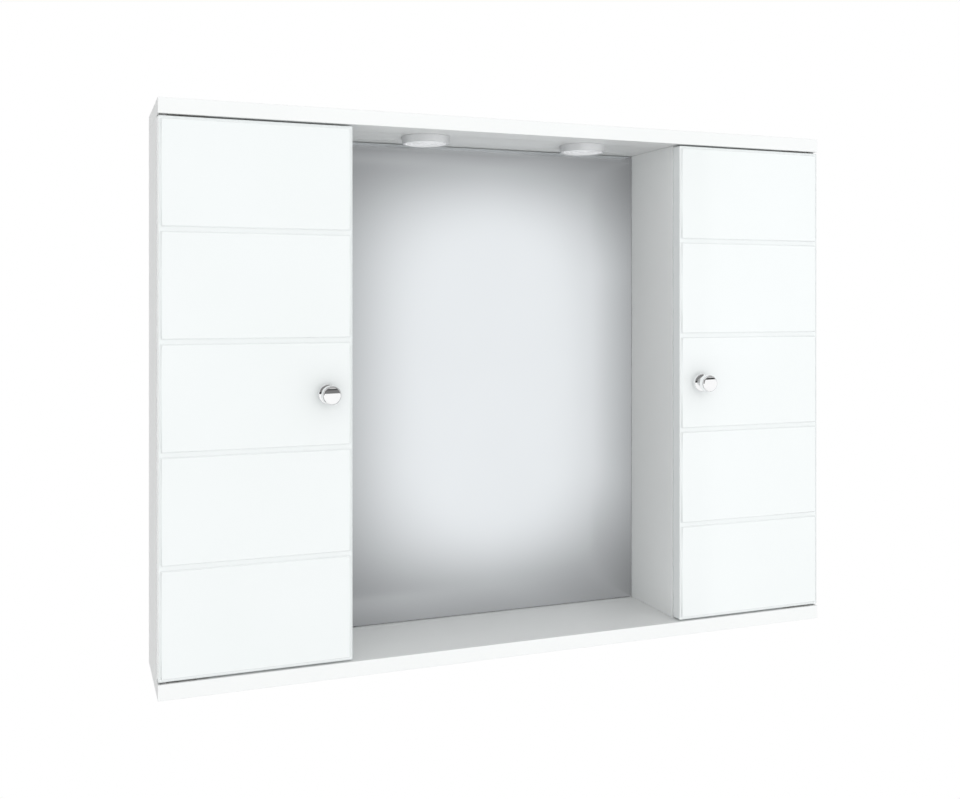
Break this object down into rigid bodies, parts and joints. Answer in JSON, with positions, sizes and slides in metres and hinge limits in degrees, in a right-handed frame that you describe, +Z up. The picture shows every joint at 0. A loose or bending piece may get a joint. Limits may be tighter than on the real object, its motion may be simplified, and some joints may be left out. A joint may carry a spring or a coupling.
{
  "type": "bathroom mirror cabinet",
  "caption": "White wall-hung bathroom cabinet: an open mirrored niche lit from above, flanked by shelved bays whose panelled doors swing outwards on pivot hinges.",
  "frame": {"origin": "centre of the back face, on the wall plane", "axes": "+Z up, +Y into the wall, +X to the right of someone facing the cabinet"},
  "size_m": [0.8, 0.142, 0.6],
  "materials": {
    "white_board": "white melamine-faced board",
    "white_hardboard": "white-faced hardboard",
    "door_lacquer": "white lacquered board",
    "mirror_glass": "silvered glass",
    "foam_tape": "foam",
    "shelf_glass": "clear glass, polished edges",
    "knob_chrome": "polished chrome",
    "zinc_steel": "zinc plated",
    "hinge_steel": "nickel plated",
    "beech": "bare beech",
    "nylon": "white nylon",
    "clear_rubber": "soft clear",
    "magnet_black": "ferrite",
    "light_silver": "satin silver",
    "light_plastic": "white moulded",
    "lens_glass": "frosted glass",
    "lamp_board": "white coated board",
    "driver_plastic": "white moulded",
    "circuit": "green laminate",
    "grommet_rubber": "soft black"
  },
  "bodies": {
    "case": {"back_panel": "white_hardboard", "back_panel_screws": "zinc_steel", "bottom_panel": "white_board", "cable_grommet": "grommet_rubber", "cam_bolts": "zinc_steel", "cam_locks": "zinc_steel", "case_leaf_screws": "zinc_steel", "catch_magnets": "magnet_black", "catch_screws": "zinc_steel", "door_bumpers": "clear_rubber", "dowels": "beech", "driver_board": "circuit", "driver_case": "driver_plastic", "driver_lid": "driver_plastic", "driver_screws": "zinc_steel", "hinge_washers": "nylon", "left_case_leaves": "hinge_steel", "left_catch_body": "nylon", "left_hanging_rail": "white_board", "left_hinge_pins": "hinge_steel", "left_light_bezel": "light_silver", "left_light_housing": "light_plastic", "left_light_lamp": "lamp_board", "left_light_lens": "lens_glass", "left_lower_shelf": "shelf_glass", "left_partition": "white_board", "left_side_panel": "white_board", "left_upper_shelf": "shelf_glass", "light_screws": "zinc_steel", "mirror": "mirror_glass", "mirror_tape": "foam_tape", "right_case_leaves": "hinge_steel", "right_catch_body": "nylon", "right_hanging_rail": "white_board", "right_hinge_pins": "hinge_steel", "right_light_bezel": "light_silver", "right_light_housing": "light_plastic", "right_light_lamp": "lamp_board", "right_light_lens": "lens_glass", "right_lower_shelf": "shelf_glass", "right_partition": "white_board", "right_side_panel": "white_board", "right_upper_shelf": "shelf_glass", "shelf_pins": "zinc_steel", "top_panel": "white_board"},
    "left_door": {"left_door": "door_lacquer", "left_door_leaves": "hinge_steel", "left_door_leaf_screws": "zinc_steel", "left_knob": "knob_chrome", "left_knob_screw": "zinc_steel", "left_strike_plate": "hinge_steel", "left_strike_screws": "zinc_steel"},
    "right_door": {"right_door": "door_lacquer", "right_door_leaves": "hinge_steel", "right_door_leaf_screws": "zinc_steel", "right_knob": "knob_chrome", "right_knob_screw": "zinc_steel", "right_strike_plate": "hinge_steel", "right_strike_screws": "zinc_steel"}
  },
  "joints": [
    {"name": "left_door_swing", "type": "hinge", "parent": "case", "child": "left_door", "pos_m": [-0.394, -0.113, 0], "axis": [0, 0, -1], "range_deg": [0, 110]},
    {"name": "right_door_swing", "type": "hinge", "parent": "case", "child": "right_door", "pos_m": [0.394, -0.113, 0], "axis": [0, 0, 1], "range_deg": [0, 110]}
  ]
}
